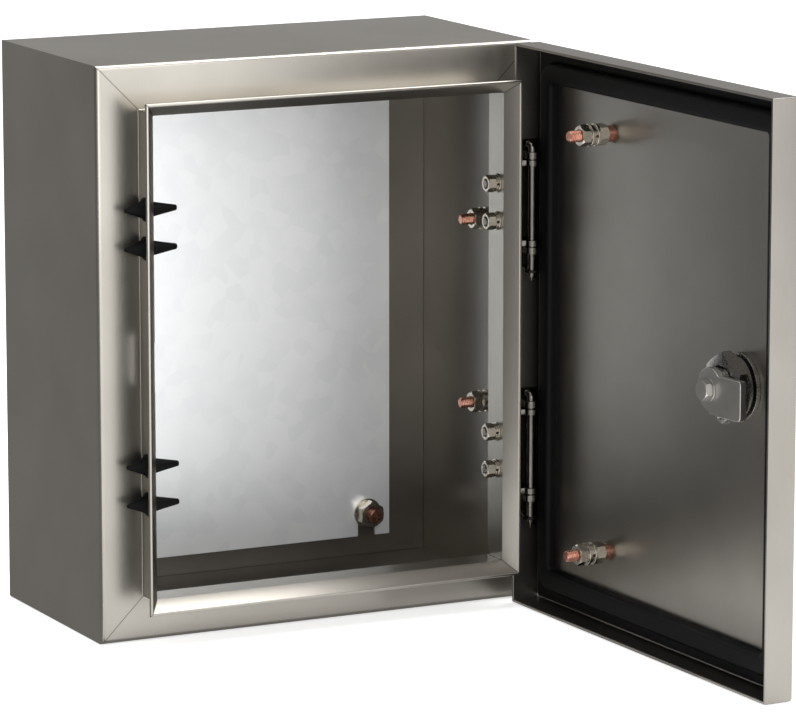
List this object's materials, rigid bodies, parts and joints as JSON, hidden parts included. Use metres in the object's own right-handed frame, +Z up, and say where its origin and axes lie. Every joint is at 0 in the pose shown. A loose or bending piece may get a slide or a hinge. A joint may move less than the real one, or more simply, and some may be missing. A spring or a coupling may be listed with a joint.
{
  "type": "steel wall enclosure",
  "caption": "Wall-mounted stainless steel enclosure with a sealing rim, an inner mounting plate, and a side-hinged door with a quarter-turn key lock.",
  "frame": {"origin": "On the plane of the back face, at the centre of the four wall-fixing holes.", "axes": "+Z up, +X to the hinge side (the right, seen from the front), -Y to the front; the back face lies at Y = 0. The door stands open by 91.8 degrees at rest."},
  "size_m": [0.2631, 0.3835, 0.3],
  "materials": {
    "brushed_stainless": "fine brushed stainless steel sheet",
    "galvanised_plate": "bright galvanised sheet with faint spangle",
    "copper_plated": "copper-plated thread",
    "black_rubber": "smooth black rubber",
    "blackened_steel": "blackened spring steel",
    "satin_chrome": "satin cast and turned metal",
    "bright_zinc": "bright zinc-plated steel"
  },
  "bodies": {
    "case": {"case_wrapper_and_rim": "brushed_stainless", "back_panel": "brushed_stainless", "mounting_plate": "galvanised_plate", "plate_studs": "copper_plated", "plate_washers": "bright_zinc", "plate_nuts": "bright_zinc", "case_earth_studs": "copper_plated", "case_earth_flat_washers": "bright_zinc", "case_earth_spring_washers": "bright_zinc", "case_earth_nuts": "bright_zinc", "hinge_hole_plugs": "black_rubber", "upper_hinge_leaf": "bright_zinc", "lower_hinge_leaf": "bright_zinc", "hinge_screws": "bright_zinc", "hinge_flat_washers": "bright_zinc", "hinge_spring_washers": "bright_zinc", "hinge_screw_nuts": "bright_zinc"},
    "door": {"door_pan": "brushed_stainless", "door_sealing_strip": "black_rubber", "upper_hinge_bracket": "bright_zinc", "lower_hinge_bracket": "bright_zinc", "upper_hinge_pin": "bright_zinc", "lower_hinge_pin": "bright_zinc", "hinge_pin_clips": "blackened_steel", "door_earth_studs": "copper_plated", "door_earth_base_nuts": "bright_zinc", "door_earth_flat_washers": "bright_zinc", "door_earth_spring_washers": "bright_zinc", "door_earth_end_nuts": "bright_zinc", "lock_housing": "satin_chrome", "lock_washer": "satin_chrome", "lock_seal_ring": "black_rubber", "lock_nut": "satin_chrome"},
    "lock": {"lock_key_insert": "satin_chrome", "lock_stop_disc": "satin_chrome", "lock_cam": "satin_chrome", "lock_cam_washer": "satin_chrome", "lock_cam_bolt": "satin_chrome"}
  },
  "joints": [
    {"name": "door_hinge", "type": "hinge", "parent": "case", "child": "door", "pos_m": [0.115, -0.1434, 0], "axis": [0, 0, 1], "range_deg": [-91.8, 28.2]},
    {"name": "lock_turn", "type": "hinge", "parent": "door", "child": "lock", "pos_m": [0.13111, -0.33449, 0], "axis": [0.9995, 0.0314, 0], "range_deg": [0, 90]}
  ]
}
